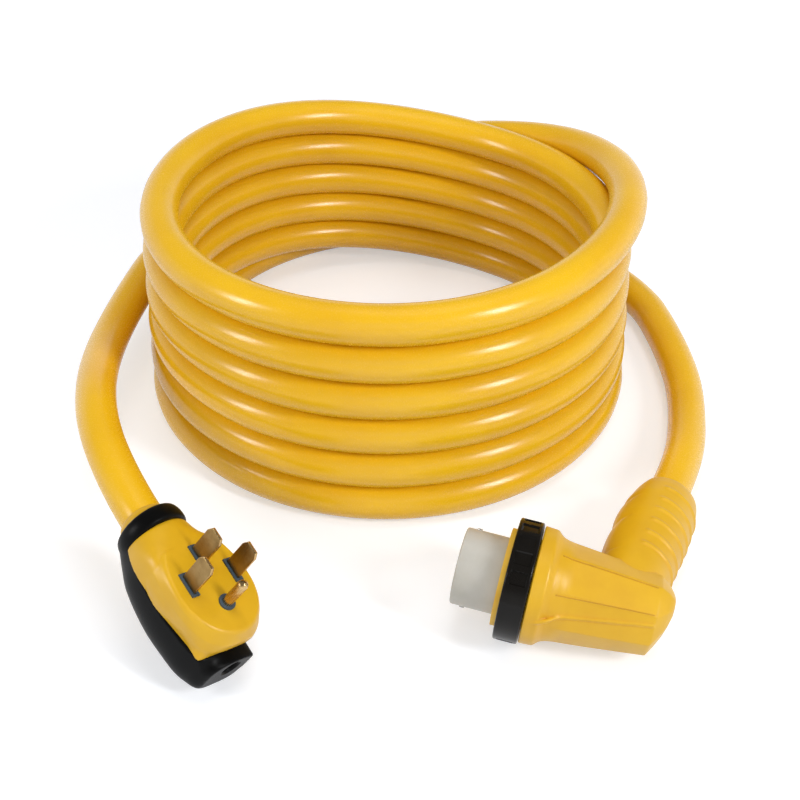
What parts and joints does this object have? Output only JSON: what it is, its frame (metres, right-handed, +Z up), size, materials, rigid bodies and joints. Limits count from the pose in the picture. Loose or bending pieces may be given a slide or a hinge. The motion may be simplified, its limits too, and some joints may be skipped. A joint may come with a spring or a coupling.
{
  "type": "shore power cord",
  "caption": "Coiled four-core power cord with a straight-blade plug on a moulded grip at one end and a right-angle locking connector with a spinning ring at the other",
  "frame": {"origin": "on the floor, at the middle of the coil", "axes": "+Z up; the plug and the connector lie on the -Y side of the coil, the plug towards -X and the connector towards +X"},
  "size_m": [0.4554, 0.5356, 0.1639],
  "materials": {
    "yellow_rubber": "satin moulded vinyl",
    "cord_jacket": "satin extruded jacket",
    "black_rubber": "satin moulded vinyl",
    "black_plastic": "semi gloss moulding",
    "grey_plastic": "matte moulding",
    "pale_seal": "soft moulded seal",
    "white_nylon": "satin nylon",
    "brass": "stamped",
    "steel": "plated",
    "dark_plastic": "moulded",
    "core_white": "extruded",
    "core_black": "extruded",
    "core_red": "extruded",
    "core_green": "extruded"
  },
  "bodies": {
    "cord": {"plug_body": "yellow_rubber", "plug_grip": "black_rubber", "plug_sleeve": "yellow_rubber", "blade_carrier": "grey_plastic", "neutral_blade": "brass", "line_blade_x": "brass", "line_blade_y": "brass", "ground_pin": "brass", "plug_wire_neutral": "core_white", "plug_wire_x": "core_black", "plug_wire_y": "core_red", "plug_wire_ground": "core_green", "plug_jacket_end": "cord_jacket", "plug_lead": "cord_jacket", "cord_coil": "cord_jacket", "connector_lead": "cord_jacket", "connector_jacket_end": "cord_jacket", "connector_boot": "yellow_rubber", "sealing_collar": "pale_seal", "contact_insert": "white_nylon", "insert_core": "white_nylon", "line_contact_x": "brass", "line_contact_y": "brass", "neutral_contact": "brass", "ground_clips": "steel", "ground_strap": "steel", "terminal_block": "white_nylon", "terminal_screws": "steel", "insert_screws": "steel", "connector_wire_neutral": "core_white", "connector_wire_x": "core_black", "connector_wire_y": "core_red", "connector_wire_ground": "core_green", "cord_clamp_upper": "dark_plastic", "cord_clamp_lower": "dark_plastic", "clamp_screws": "steel"},
    "ring": {"locking_ring": "black_plastic"}
  },
  "joints": [
    {"name": "ring_turn", "type": "hinge", "parent": "cord", "child": "ring", "pos_m": [0.081, -0.267, 0.0385], "axis": [-0.9615, 0.2576, 0.0958], "continuous": true}
  ]
}
